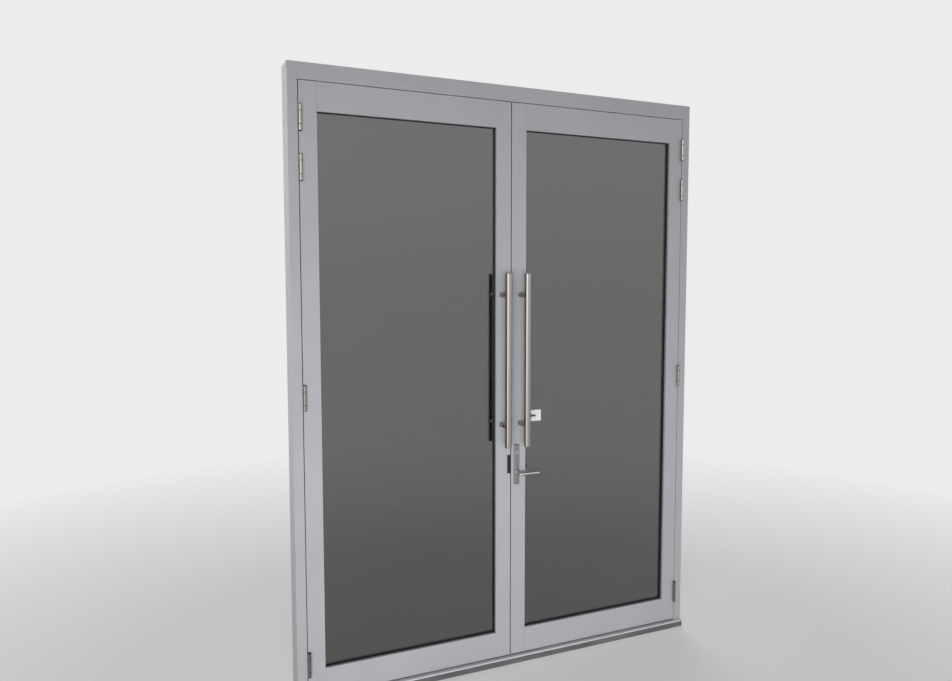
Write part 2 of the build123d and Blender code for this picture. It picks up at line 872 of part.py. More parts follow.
# Mortice lock
def lock_case():
    half = case_thickness / 2
    front_x = leaf_inner_x + forend_thickness
    with BuildPart() as case:
        span_box(
            (front_x, front_x + case_depth),
            (-half, half),
            (hub_z + case_low, hub_z + case_high),
        )
        fillet(case.edges().filter_by(Axis.Y).group_by(Axis.X)[-1], plate_wall)
        with Locations(Plane(origin=(hub_x, -half, hub_z), z_dir=(0, -1, 0))):
            Hole(hub_radius + hub_play, depth=case_thickness)
        with Locations(Plane(origin=(hub_x, -half, cylinder_z), z_dir=(0, -1, 0))):
            Hole(cylinder_radius, depth=cam_reach + plug_proud)
        span_box(
            (front_x, leaf_inner_x + latch_length + slide_play),
            (-latch_width / 2 - slide_play, latch_width / 2 + slide_play),
            (latch_z - latch_height / 2 - slide_play, latch_z + latch_height / 2 + slide_play),
            mode=Mode.SUBTRACT,
        )
    save(case, "lock_case")


def lock_forend():
    with BuildPart() as plate:
        span_box(
            (leaf_inner_x, leaf_inner_x + forend_thickness),
            (-forend_width / 2, forend_width / 2),
            (latch_z - forend_length / 2, latch_z + forend_length / 2),
        )
        span_box(
            (leaf_inner_x, leaf_inner_x + forend_thickness),
            (-latch_width / 2 - slide_play, latch_width / 2 + slide_play),
            (latch_z - latch_height / 2 - slide_play, latch_z + latch_height / 2 + slide_play),
            mode=Mode.SUBTRACT,
        )
    save(plate, "lock_forend")


def lock_follower():
    length = case_thickness - 2 * follower_play
    with BuildPart() as follower:
        with BuildSketch(Plane(origin=(hub_x, length / 2, hub_z), z_dir=(0, -1, 0))):
            Circle(hub_radius)
            Rectangle(spindle_size, spindle_size, mode=Mode.SUBTRACT)
        extrude(amount=length)
    save(follower, "lock_follower")


def latch_bolt():
    half = latch_width / 2
    nose_x = leaf_inner_x
    tail_x = nose_x + latch_length
    with BuildPart() as latch:
        with BuildSketch(Plane.XY.offset(latch_z - latch_height / 2)):
            with BuildLine():
                Polyline(
                    (tail_x, -half),
                    (tail_x, half),
                    (nose_x + latch_bevel_length, half),
                    (nose_x, half - latch_bevel),
                    (nose_x, -half),
                    close=True,
                )
            make_face()
        extrude(amount=latch_height)
    save(latch, "latch_bolt")


def cylinder_housing():
    length = plate_front + cylinder_proud - case_thickness / 2
    with BuildPart() as housing:
        with BuildSketch(Plane(origin=(hub_x, -case_thickness / 2, cylinder_z), z_dir=(0, -1, 0))):
            Circle(cylinder_radius)
            Circle(plug_radius + pin_play, mode=Mode.SUBTRACT)
        extrude(amount=length)
    save(housing, "cylinder_housing")


def key_plug():
    """Turning plug with its keyway in front and a cam in the lock case behind."""
    front = plate_front + cylinder_proud + plug_proud
    shoulder = case_thickness / 2 - slide_play
    with BuildPart() as plug:
        with BuildSketch(Plane(origin=(hub_x, -shoulder, cylinder_z), z_dir=(0, -1, 0))):
            Circle(plug_radius)
        extrude(amount=front - shoulder)
        with Locations((hub_x, -shoulder + cam_reach / 2, cylinder_z)):
            Box(cam_width, cam_reach, cam_length)
        with Locations((hub_x, -front + keyway_depth / 2, cylinder_z)):
            Box(keyway_width, keyway_depth, keyway_height, mode=Mode.SUBTRACT)
    save(plug, "key_plug")


# Electric strike in the left leaf
keeper_x = -leaf_inner_x - keeper_pivot_inset
keeper_y = face_y + keeper_pivot_depth


def strike_body():
    front_x = -void_inner_x
    half = strike_height / 2
    half_pocket = keeper_height / 2 + keeper_play
    with BuildPart() as body:
        span_box(
            (front_x, front_x - strike_depth),
            (-strike_front, strike_back),
            (latch_z - half, latch_z + half),
        )
        fillet(body.edges().filter_by(Axis.Y).group_by(Axis.X)[0], plate_wall)
        span_box(
            (keeper_x - keeper_barrel - keeper_play, front_x),
            (-strike_front, latch_pocket),
            (latch_z - half_pocket, latch_z + half_pocket),
            mode=Mode.SUBTRACT,
        )
        with Locations((keeper_x, keeper_y, latch_z)):
            Cylinder(keeper_pin_radius, keeper_pin_length, mode=Mode.SUBTRACT)
    save(body, "strike_body")


def strike_plate():
    edge = -leaf_inner_x
    half = strike_plate_length / 2
    half_keeper = keeper_height / 2 + keeper_play
    with BuildPart() as plate:
        span_box(
            (edge, edge - forend_thickness),
            (-forend_width / 2, forend_width / 2),
            (latch_z - half, latch_z + half),
        )
        span_box(
            (edge, edge - forend_thickness),
            (-forend_width / 2, latch_pocket),
            (latch_z - half_keeper, latch_z + half_keeper),
            mode=Mode.SUBTRACT,
        )
    save(plate, "strike_plate")


def strike_pin():
    with BuildPart() as pin:
        with Locations((keeper_x, keeper_y, latch_z)):
            Cylinder(keeper_pin_radius, keeper_pin_length)
    save(pin, "strike_pin")


def strike_keeper():
    """Released jaw: a barrel on its pin, a lip in the leaf's face and a nose that holds the latch."""
    edge = -leaf_inner_x
    front_y = keeper_y - keeper_barrel
    lip_back_y = front_y + keeper_lip
    with BuildPart() as keeper:
        with BuildSketch(Plane.XY.offset(latch_z - keeper_height / 2)):
            with BuildLine():
                Polyline(
                    (keeper_x, front_y),
                    (edge - keeper_tip_gap, front_y),
                    (edge - keeper_tip_gap, lip_back_y),
                    (edge - keeper_nose_gap, lip_back_y),
                    (edge - keeper_nose_gap, lip_back_y + keeper_nose),
                    (keeper_x, lip_back_y + keeper_nose),
                    close=True,
                )
            make_face()
            with Locations((keeper_x, keeper_y)):
                Circle(keeper_barrel)
                Circle(keeper_pin_radius + pin_play, mode=Mode.SUBTRACT)
        extrude(amount=keeper_height)
    save(keeper, "strike_keeper")


# Flush bolts in the left leaf
def flush_bolt_plates():
    edge = -leaf_inner_x
    with BuildPart() as plates:
        for level, throw, _ in flush_bolt_levels():
            span_box(
                (edge, edge - bolt_plate_thickness),
                (-bolt_plate_width / 2, bolt_plate_width / 2),
                (level - bolt_plate_length / 2, level + bolt_plate_length / 2),
            )
            reach = bolt_slide_height / 2 + bolt_slot_play
            span_box(
                (edge, edge - bolt_plate_thickness),
                (-bolt_slot_width / 2, bolt_slot_width / 2),
                (level - throw * reach, level + throw * (reach + bolt_throw)),
                mode=Mode.SUBTRACT,
            )
    save(plates, "flush_bolt_plates")


def flush_bolt(index, label):
    """Round rod to the leaf's end, with a slide that shows through the slot in its plate."""
    level, throw, end_z = flush_bolt_levels()[index]
    start_z = level - throw * bolt_slide_height / 2
    with BuildPart() as bolt:
        with BuildSketch(Plane.XY.offset(min(start_z, end_z))):
            with Locations((-rod_x, 0)):
                Circle(rod_radius)
        extrude(amount=abs(end_z - start_z))
        span_box(
            (-leaf_inner_x - bolt_slide_sunk, -rod_x),
            (-bolt_slide_width / 2, bolt_slide_width / 2),
            (level - bolt_slide_height / 2, level + bolt_slide_height / 2),
        )
    save(bolt, label)


def bolt_guides():
    """Plugs in the meeting stile's ends that carry the flush bolt rods."""
    half = leaf_thickness / 2 - face_wall
    low_z = leaf_bottom_z + guide_inset
    high_z = leaf_top_z - guide_inset
    with BuildPart() as guides:
        for start_z, end_z in ((low_z, low_z + guide_thickness), (high_z, high_z - guide_thickness)):
            span_box((-void_inner_x, -void_outer_x), (-half, half), (start_z, end_z))
            with Locations((-rod_x, 0, (start_z + end_z) / 2)):
                Cylinder(rod_radius + rod_play, guide_thickness, mode=Mode.SUBTRACT)
    save(guides, "flush_bolt_guides")


# Build every piece
sub_sill()
sill_end_caps()
threshold_cover()
bottom_bolt_socket()
head()
top_bolt_strike()
frame_seal()

for side, name in ((LEFT, "left"), (RIGHT, "right")):
    jamb(side, f"{name}_jamb")
    hinge_frame_leaves(side, f"{name}_hinge_frame_leaves")
    hinge_door_leaves(side, f"{name}_hinge_door_leaves")
    hinge_pins(side, f"{name}_hinge_pins")
    hinge_stile(side, f"{name}_hinge_stile")
    rail(side, leaf_top_z, -1, f"{name}_top_rail")
    rail(side, leaf_bottom_z, 1, f"{name}_bottom_rail")
    glass(side, f"{name}_glass")
    gasket(side, OUTSIDE, f"{name}_outer_gasket")
    gasket(side, INSIDE, f"{name}_inner_gasket")
    glazing_beads(side, f"{name}_glazing_beads")
    bottom_brush(side, f"{name}_bottom_brush")
    pull_bar(side, OUTSIDE, f"{name}_outside_pull")
    pull_bar(side, INSIDE, f"{name}_inside_pull")
    pull_bolts(side, f"{name}_pull_bolts")

left_meeting_stile()
right_meeting_stile()
meeting_seal()

lever_plate(OUTSIDE, "outside_lever_plate")
lever_plate(INSIDE, "inside_lever_plate")
plate_screws()
lever(OUTSIDE, "outside_lever")
lever(INSIDE, "inside_lever")
spindle()
lock_case()
lock_forend()
lock_follower()
latch_bolt()
cylinder_housing()
key_plug()

strike_body()
strike_plate()
strike_pin()
strike_keeper()
flush_bolt_plates()
flush_bolt(0, "bottom_flush_bolt")
flush_bolt(1, "top_flush_bolt")
bolt_guides()
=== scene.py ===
"""Looks of an aluminium-framed double glass entrance door, metres, in the part's own frame."""

import json
import math

import bmesh
import bpy
from mathutils import Matrix, Vector


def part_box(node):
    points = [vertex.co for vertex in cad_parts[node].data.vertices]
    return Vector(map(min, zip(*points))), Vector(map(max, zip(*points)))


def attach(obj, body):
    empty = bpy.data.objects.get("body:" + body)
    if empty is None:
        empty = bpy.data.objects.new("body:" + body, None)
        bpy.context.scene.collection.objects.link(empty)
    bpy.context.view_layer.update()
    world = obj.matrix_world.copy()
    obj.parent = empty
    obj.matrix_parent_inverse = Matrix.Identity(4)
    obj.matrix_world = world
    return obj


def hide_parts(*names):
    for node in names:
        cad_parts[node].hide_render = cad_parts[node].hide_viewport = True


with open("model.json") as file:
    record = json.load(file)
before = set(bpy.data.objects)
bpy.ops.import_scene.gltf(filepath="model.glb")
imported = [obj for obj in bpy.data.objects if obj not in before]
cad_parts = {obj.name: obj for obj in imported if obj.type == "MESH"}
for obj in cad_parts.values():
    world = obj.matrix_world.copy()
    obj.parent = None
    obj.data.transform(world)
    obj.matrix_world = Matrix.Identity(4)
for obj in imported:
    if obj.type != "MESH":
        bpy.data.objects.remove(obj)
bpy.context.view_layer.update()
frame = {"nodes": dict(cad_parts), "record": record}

# Camera, solved from the frame's straight edges
CAMERA_PLACE = (-1.4728, -2.9595, 1.6805)
CAMERA_YAW_DEG = 23.994
CAMERA_PITCH_DEG = -4.269
CAMERA_ROLL_DEG = -0.044
FOCAL_PX = 765.137
IMAGE_WIDTH_PX = 952
SENSOR_WIDTH_MM = 36.0
CLIP_NEAR = 0.05
CLIP_FAR = 200.0

# Surroundings
WORLD_SHOWN = (0.84, 0.84, 0.84)
WORLD_LIGHT = 0.2
WORLD_LIGHT_COLOUR = (1.0, 0.99, 0.99)
# Brightness that metal and glass mirror, by direction: 0 straight down, 0.5 level, 1 straight up
MIRRORED_HEIGHTS = (
    (0.0, 0.3),
    (0.25, 0.65),
    (0.4, 1.05),
    (0.5, 1.3),
    (0.6, 1.75),
    (0.72, 1.6),
    (0.85, 0.5),
    (1.0, 0.2),
)
# What metal mirrors round about: a bright band, a dark one and a dim side. Each direction is given
# by its share of -X and its share of Y either way, and each span by how closely a ray follows it
STREAK_DIRECTION = (0.775, 0.631)
STREAK_SPAN = (0.9, 0.985)
STREAK_GAIN = 1.2
DARK_DIRECTION = (1.0, 0.0)
DARK_SPAN = (0.89, 0.975)
DARK_SHARE = 0.72
DIM_DIRECTION = (-1.0, 0.0)
DIM_SPAN = (-0.1, 0.8)
DIM_SHARE = 0.25
FLOOR_COLOUR = (0.8, 0.79, 0.785)
FLOOR_HALF = 40.0
FLOOR_GLOW_NEAR = 0.35
FLOOR_FADE_START = 1.6
FLOOR_FADE_END = 4.6
# Light that the floor throws up at the object
BOUNCE_NEAR = 0.58
BOUNCE_FAR = 0.0
BOUNCE_START = 2.6
BOUNCE_END = 8.0
BOUNCE_COLOUR = (0.98, 0.985, 1.0)

# Directions of brushing, as the noise's stretch along X, Y and Z
ALONG_Z = (10.0, 10.0, 0.1)
ALONG_X = (0.1, 10.0, 10.0)
ACROSS = (8.0, 8.0, 8.0)

# Sizes of what is added to the solids
SMOOTH_BELOW_DEG = 32
SAME_CORNER = 0.00001
PULL_SIDES = 64
PULL_END_CHAMFER = 0.001
POST_RADIUS = 0.012
POST_SIDES = 48
POST_SUNK = 0.003
SCREW_SIDES = 20
SCREW_RISE = 0.0003
SCREW_SUNK = 0.0004
CROSS_HALF_WIDTH = 0.00045
CROSS_SHARE = 0.6
CROSS_FLOOR_SHARE = 0.9
CROSS_ABOVE = 0.00004
FIRST_SCREW_TURN_DEG = 23
NEXT_SCREW_TURN_DEG = 47
PLATE_THICKNESS = 0.0025
HINGE_SCREW_RADIUS = 0.0040
HINGE_SCREW_DEPTHS = (0.009, 0.021)
HINGE_SCREW_FROM_END = 0.013
DOOR_SCREW_FROM_END = 0.011
DOOR_SCREW_DEPTH = 0.013
EDGE_SCREW_RADIUS = 0.0034
EDGE_SCREW_FROM_END = 0.009
STRIKE_SCREW_FROM_END = 0.007
SILL_SCREW_RADIUS = 0.0046
SILL_SCREW_COUNT = 5
SILL_SCREW_FROM_END = 0.12
SILL_SCREW_FROM_BACK = 0.028
KNUCKLE_RADIUS = 0.0065
MIDDLE_KNUCKLE = 0.048
KNUCKLE_PLAY = 0.0003
RING_HEIGHT = 0.0022
RING_RISE = 0.00015
RING_SIDES = 32
SIGN_WIDTH = 0.082
SIGN_HEIGHT = 0.049
SIGN_THICKNESS = 0.0004
SIGN_CORNER = 0.002
SIGN_CORNER_STEPS = 4
SIGN_RIGHT_X = 0.1565
SIGN_MIDDLE_Z = 1.0985
ARROW_THICKNESS = 0.0001
ARROW_SHARE = 0.26
ARROW_OUTLINE = (
    (-1.25, 0.0), (-0.35, 0.85), (-0.35, 0.32), (1.2, 0.32), (1.2, -0.32), (-0.35, -0.32), (-0.35, -0.85),
)

LEFT = -1
RIGHT = 1
OUTSIDE = -1
INSIDE = 1


# Shader nodes
def add_node(tree, kind, sockets=None, **settings):
    """A node with its settings, and with values or links on its sockets."""
    made = tree.nodes.new(kind)
    for name, value in settings.items():
        setattr(made, name, value)
    for key, value in (sockets or {}).items():
        if isinstance(value, bpy.types.NodeSocket):
            tree.links.new(value, made.inputs[key])
        else:
            made.inputs[key].default_value = value
    return made


def noise(tree, scale, stretch=(1.0, 1.0, 1.0), detail=3.0):
    """Noise in the part's frame; a larger stretch makes finer marks along that axis."""
    place = add_node(tree, "ShaderNodeTexCoord").outputs["Object"]
    mapped = add_node(tree, "ShaderNodeMapping", {"Vector": place, "Scale": stretch}).outputs["Vector"]
    sockets = {"Vector": mapped, "Scale": scale, "Detail": detail}
    return add_node(tree, "ShaderNodeTexNoise", sockets).outputs["Fac"]


def spread(tree, factor, low, high, start=0.3, end=0.7, **settings):
    """A value from low to high as factor goes from start to end."""
    sockets = {"Value": factor, "From Min": start, "From Max": end, "To Min": low, "To Max": high}
    return add_node(tree, "ShaderNodeMapRange", sockets, **settings).outputs["Result"]


def calculate(tree, operation, first, second):
    """Output of a maths node with two inputs."""
    return add_node(tree, "ShaderNodeMath", {0: first, 1: second}, operation=operation).outputs["Value"]


def blend_colours(tree, factor, first, second):
    """Colour from first to second: inputs 0, 6 and 7 of the mix, and its output 2."""
    mix = add_node(tree, "ShaderNodeMix", data_type="RGBA")
    for key, value in ((0, factor), (6, first), (7, second)):
        if isinstance(value, bpy.types.NodeSocket):
            tree.links.new(value, mix.inputs[key])
        else:
            mix.inputs[key].default_value = value if key == 0 else (*value, 1.0)
    return mix.outputs[2]


def new_material(name):
    """An empty material: its node tree and its principled shader."""
    material = bpy.data.materials.new(name)
    material.use_nodes = True
    tree = material.node_tree
    return material, tree, tree.nodes["Principled BSDF"]


def bump(tree, shader, height, strength, distance):
    sockets = {"Height": height, "Strength": strength, "Distance": distance}
    normal = add_node(tree, "ShaderNodeBump", sockets).outputs["Normal"]
    tree.links.new(normal, shader.inputs["Normal"])


def linear(red, green, blue):
    """An sRGB colour from 0 to 255 as linear values."""
    def one(value):
        share = value / 255
        return share / 12.92 if share <= 0.04045 else ((share + 0.055) / 1.055) ** 2.4
    return one(red), one(green), one(blue)


def scaled(colour, factor):
    return tuple(value * factor for value in colour)


def shaded(tree, pattern, colour, dark, light):
    """A colour that varies with a pattern between two shares of it."""
    return blend_colours(tree, spread(tree, pattern, 0.0, 1.0), scaled(colour, dark), scaled(colour, light))


# Materials
def coated_aluminium(name, colour, roughness):
    """Satin silver coating: slight mottling, a fine metallic grain and orange peel."""
    material, tree, shader = new_material(name)
    mottle = noise(tree, scale=5.0, detail=4.0)
    grain = noise(tree, scale=1800.0, detail=1.0)
    sheen = noise(tree, scale=30.0)
    peel = noise(tree, scale=900.0, detail=2.0)
    tone = shaded(tree, mottle, colour, dark=0.965, light=1.03)
    glint = scaled(colour, 1.25)
    speckled = blend_colours(tree, spread(tree, grain, low=0.0, high=0.16), tone, glint)
    tree.links.new(speckled, shader.inputs["Base Color"])
    rough = spread(tree, sheen, low=roughness - 0.04, high=roughness + 0.05)
    tree.links.new(rough, shader.inputs["Roughness"])
    shader.inputs["Metallic"].default_value = 0.08
    bump(tree, shader, peel, strength=0.08, distance=0.0002)
    return material


def worn_aluminium(name, colour, roughness, dust_colour):
    """Dull foot of the threshold, darkened by dust and shoe scuffs along it."""
    material, tree, shader = new_material(name)
    scuffs = noise(tree, scale=14.0, stretch=(1.0, 1.0, 6.0), detail=8.0)
    dust = noise(tree, scale=3.0, detail=5.0)
    pits = noise(tree, scale=300.0, detail=4.0)
    tone = shaded(tree, scuffs, colour, dark=0.8, light=1.15)
    dust_share = spread(tree, dust, low=0.0, high=0.3, start=0.45, end=0.75)
    dusty = blend_colours(tree, dust_share, tone, dust_colour)
    tree.links.new(dusty, shader.inputs["Base Color"])
    rough = spread(tree, scuffs, low=roughness - 0.08, high=roughness + 0.12)
    tree.links.new(rough, shader.inputs["Roughness"])
    shader.inputs["Metallic"].default_value = 0.3
    bump(tree, shader, pits, strength=0.12, distance=0.0004)
    return material


def brushed_metal(name, colour, roughness, stretch, contrast=0.09, depth=0.00004):
    """Brushed steel: hairlines along one axis, in colour, roughness and relief."""
    material, tree, shader = new_material(name)
    lines = noise(tree, scale=60.0, stretch=stretch, detail=4.0)
    clouds = noise(tree, scale=9.0)
    tone = shaded(tree, lines, colour, dark=1 - contrast, light=1 + contrast)
    tree.links.new(tone, shader.inputs["Base Color"])
    hazy = spread(tree, clouds, low=roughness - 0.02, high=roughness + 0.02)
    rough = calculate(tree, "ADD", hazy, spread(tree, lines, low=-contrast / 2, high=contrast / 2))
    tree.links.new(rough, shader.inputs["Roughness"])
    shader.inputs["Metallic"].default_value = 1.0
    bump(tree, shader, lines, strength=0.5, distance=depth)
    return material


def cast_metal(name, colour, roughness):
    """Zinc-plated or painted cast surface with a faint pebble."""
    material, tree, shader = new_material(name)
    pebble = noise(tree, scale=260.0)
    tone = shaded(tree, pebble, colour, dark=0.88, light=1.1)
    tree.links.new(tone, shader.inputs["Base Color"])
    rough = spread(tree, pebble, low=roughness - 0.06, high=roughness + 0.06)
    tree.links.new(rough, shader.inputs["Roughness"])
    shader.inputs["Metallic"].default_value = 0.6
    bump(tree, shader, pebble, strength=0.2, distance=0.0001)
    return material


def black_rubber(name, colour):
    """Matt extruded rubber or brush pile."""
    material, tree, shader = new_material(name)
    lines = noise(tree, scale=500.0, detail=2.0)
    bloom = noise(tree, scale=60.0)
    tone = shaded(tree, lines, colour, dark=0.7, light=1.5)
    tree.links.new(tone, shader.inputs["Base Color"])
    tree.links.new(spread(tree, bloom, low=0.48, high=0.66), shader.inputs["Roughness"])
    bump(tree, shader, lines, strength=0.4, distance=0.0002)
    return material


def moulded_plastic(name, colour):
    """Dull moulded nylon with a fine grain."""
    material, tree, shader = new_material(name)
    grain = noise(tree, scale=700.0)
    tone = shaded(tree, grain, colour, dark=0.85, light=1.2)
    tree.links.new(tone, shader.inputs["Base Color"])
    tree.links.new(spread(tree, grain, low=0.4, high=0.55), shader.inputs["Roughness"])
    bump(tree, shader, grain, strength=0.15, distance=0.0001)
    return material


def tinted_glass(name, colour):
    """Glass of that tint through its whole thickness, slightly wavy; lamps shine through it. A dark tint is
    painted shade for what lies behind the glass.
    """
    material, tree, shader = new_material(name)
    shader.inputs["Base Color"].default_value = (*colour, 1.0)
    shader.inputs["Transmission Weight"].default_value = 1.0
    shader.inputs["IOR"].default_value = 1.5
    smears = noise(tree, scale=2.4, stretch=(1.0, 1.0, 0.35), detail=6.0)
    waves = noise(tree, scale=1.6, detail=1.0)
    tree.links.new(spread(tree, smears, low=0.0, high=0.03, start=0.5, end=0.8), shader.inputs["Roughness"])
    bump(tree, shader, waves, strength=0.1, distance=0.0006)
    face_tint = tuple(math.sqrt(value) for value in colour)
    clear = add_node(tree, "ShaderNodeBsdfTransparent", {"Color": (*face_tint, 1.0)})
    lamps = add_node(tree, "ShaderNodeLightPath").outputs["Is Shadow Ray"]
    sockets = {0: lamps, 1: shader.outputs["BSDF"], 2: clear.outputs["BSDF"]}
    mixed = add_node(tree, "ShaderNodeMixShader", sockets)
    tree.links.new(mixed.outputs["Shader"], tree.nodes["Material Output"].inputs["Surface"])
    return material


def printed_plastic(name, colour):
    """Smooth sign plastic, slightly yellowed in patches."""
    material, tree, shader = new_material(name)
    patches = noise(tree, scale=25.0, detail=4.0)
    tone = shaded(tree, patches, colour, dark=0.95, light=1.0)
    tree.links.new(tone, shader.inputs["Base Color"])
    tree.links.new(spread(tree, patches, low=0.3, high=0.42), shader.inputs["Roughness"])
    return material


materials = {
    "frame_aluminium": coated_aluminium("frame_coating", linear(167, 167, 171), roughness=0.42),
    "leaf_aluminium": coated_aluminium("leaf_coating", linear(168, 169, 174), roughness=0.40),
    "sill_riser": worn_aluminium(
        "riser_metal", linear(98, 98, 100), roughness=0.55, dust_colour=linear(150, 146, 140),
    ),
    "seal_rubber": black_rubber("black_seal", linear(58, 58, 62)),
    "hinge_steel": brushed_metal(
        "hinge_satin_steel", linear(144, 138, 131), roughness=0.17, stretch=ALONG_Z,
        contrast=0.05, depth=0.00001,
    ),
    "lock_steel": brushed_metal("lock_satin_steel", linear(172, 172, 172), roughness=0.32, stretch=ALONG_Z),
    "guide_plastic": moulded_plastic("guide_nylon", linear(52, 52, 52)),
    "lock_case_zinc": cast_metal("zinc_casting", linear(150, 152, 154), roughness=0.45),
    "keeper_dark": cast_metal("keeper_casting", linear(48, 49, 53), roughness=0.4),
    # The glass's dark tint is painted shade: it stands in for the dark room seen through the panes.
    "glass": tinted_glass("glass_tint_painted_shade", (0.119, 0.119, 0.118)),
    "pull_stainless": brushed_metal(
        "pull_brushed_steel", linear(154, 147, 143), roughness=0.15, stretch=ALONG_Z,
        contrast=0.04, depth=0.00001,
    ),
    "lever_satin": brushed_metal(
        "lever_satin_steel", linear(196, 195, 193), roughness=0.2, stretch=ALONG_X,
        contrast=0.05, depth=0.00001,
    ),
    "cylinder_nickel": brushed_metal(
        "cylinder_satin_nickel", linear(178, 176, 173), roughness=0.3, stretch=ACROSS,
    ),
}
# Painted light: the threshold cover is coated lighter than the frame, standing in for the light that falls
# on its top.
threshold_painted_light = coated_aluminium("threshold_painted_light", linear(198, 198, 201), roughness=0.38)
lever_plate = brushed_metal(
    "plate_satin_steel", linear(146, 144, 146), roughness=0.36, stretch=ALONG_Z, contrast=0.07,
)
# Painted shade: a dark colour in the screws' cross recesses so that they look deep.
recess_painted_shade = cast_metal("recess_painted_shade", linear(58, 57, 56), roughness=0.5)
sign_white = printed_plastic("sign_white", linear(226, 226, 230))
sign_black = printed_plastic("sign_black", linear(40, 40, 44))


def dress(obj, material):
    obj.data.materials.clear()
    obj.data.materials.append(material)


def dress_solids():
    """Every solid takes the finish of its slot, but for the lever plates and the threshold cover, whose
    lighter coating is painted light on its top.
    """
    for part in frame["record"]["subparts"]:
        dress(frame["nodes"][part["node"]], materials[part["material_slot"]])
    for node in ("outside_lever_plate", "inside_lever_plate"):
        dress(frame["nodes"][node], lever_plate)
    dress(frame["nodes"]["threshold_cover"], threshold_painted_light)


# Meshes
def finish_piece(name, mesh, body, material):
    """Turns a bmesh into a piece that rides on a body."""
    bmesh.ops.recalc_face_normals(mesh, faces=mesh.faces)
    data = bpy.data.meshes.new(name)
    mesh.to_mesh(data)
    mesh.free()
    data.shade_smooth()
    data.set_sharp_from_angle(angle=math.radians(SMOOTH_BELOW_DEG))
    piece = bpy.data.objects.new(name, data)
    bpy.context.scene.collection.objects.link(piece)
    dress(piece, material)
    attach(piece, body)
    return piece


def turned(mesh, base, axis, rings, sides):
    """Adds a closed round form about an axis; rings are (distance along it, radius)."""
    turn = axis.to_track_quat("Z", "Y").to_matrix()
    loops = []
    for along, radius in rings:
        loop = []
        for index in range(sides):
            angle = 2 * math.pi * index / sides
            offset = turn @ Vector((radius * math.cos(angle), radius * math.sin(angle), along))
            loop.append(mesh.verts.new(base + offset))
        loops.append(loop)
    for low, high in zip(loops, loops[1:]):
        for index in range(sides):
            after = (index + 1) % sides
            mesh.faces.new((low[index], low[after], high[after], high[index]))
    mesh.faces.new(reversed(loops[0]))
    mesh.faces.new(loops[-1])


def pull_bar(direction, body, node, bolt_node):
    """Round bar on two posts, finer than its solid."""
    low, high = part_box(node)
    bolt_low, bolt_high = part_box(bolt_node)
    radius = (high.x - low.x) / 2
    x = (low.x + high.x) / 2
    bar_y = (low.y if direction == OUTSIDE else high.y) - direction * radius
    face_y = high.y if direction == OUTSIDE else low.y
    bolt_radius = (bolt_high.x - bolt_low.x) / 2
    length = high.z - low.z
    mesh = bmesh.new()
    rings = (
        (0.0, radius - PULL_END_CHAMFER),
        (PULL_END_CHAMFER, radius),
        (length - PULL_END_CHAMFER, radius),
        (length, radius - PULL_END_CHAMFER),
    )
    turned(mesh, Vector((x, bar_y, low.z)), Vector((0, 0, 1)), rings, PULL_SIDES)
    reach = abs(bar_y - face_y) - radius + POST_SUNK
    outward = Vector((0, direction, 0))
    post = ((0.0, POST_RADIUS), (reach, POST_RADIUS))
    for post_z in (bolt_low.z + bolt_radius, bolt_high.z - bolt_radius):
        turned(mesh, Vector((x, face_y, post_z)), outward, post, POST_SIDES)
    piece = finish_piece(f"{node}_bar", mesh, body, materials["pull_stainless"])
    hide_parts(node)


def screw_head(mesh, place, axis, radius, turn_deg):
    """Slightly raised countersunk head with a cross recess; the recess faces take the second material, a
    dark painted shade.
    """
    normal = Vector(axis).normalized()
    across = normal.orthogonal().normalized()
    other = normal.cross(across)
    turn = math.radians(turn_deg)
    first = across * math.cos(turn) + other * math.sin(turn)
    second = normal.cross(first)
    reach = radius * CROSS_SHARE
    half = CROSS_HALF_WIDTH
    cross = [
        (reach, -half), (reach, half), (half, half), (half, reach), (-half, reach), (-half, half),
        (-reach, half), (-reach, -half), (-half, -half), (-half, -reach), (half, -reach), (half, -half),
    ]

    def at(a, b, height):
        return mesh.verts.new(Vector(place) + first * a + second * b + normal * height)

    rim = []
    foot = []
    for index in range(SCREW_SIDES):
        angle = 2 * math.pi * index / SCREW_SIDES
        rim.append(at(radius * math.cos(angle), radius * math.sin(angle), 0.0))
        foot.append(at(radius * math.cos(angle), radius * math.sin(angle), -SCREW_SUNK))
    for index in range(SCREW_SIDES):
        after = (index + 1) % SCREW_SIDES
        mesh.faces.new((foot[index], foot[after], rim[after], rim[index]))
    mesh.faces.new(reversed(foot))
    edge = [at(a, b, SCREW_RISE) for a, b in cross]
    floor = [at(a * CROSS_FLOOR_SHARE, b * CROSS_FLOOR_SHARE, CROSS_ABOVE) for a, b in cross]
    recess = [mesh.faces.new(floor)]
    for index in range(len(cross)):
        after = (index + 1) % len(cross)
        recess.append(mesh.faces.new((edge[index], edge[after], floor[after], floor[index])))
    # The recess faces get painted shade.
    for face in recess:
        face.material_index = 1
    edge_loop = [mesh.edges.get((edge[i], edge[(i + 1) % len(edge)])) for i in range(len(edge))]
    rim_loop = [mesh.edges.get((rim[i], rim[(i + 1) % len(rim)])) for i in range(len(rim))]
    bmesh.ops.bridge_loops(mesh, edges=edge_loop + rim_loop)


def screws(name, body, slot, places, axis, radius):
    """One piece of screw heads, each turned differently."""
    mesh = bmesh.new()
    for index, place in enumerate(places):
        screw_head(mesh, place, axis, radius, FIRST_SCREW_TURN_DEG + NEXT_SCREW_TURN_DEG * index)
    piece = finish_piece(name, mesh, body, materials[slot])
    piece.data.materials.append(recess_painted_shade)


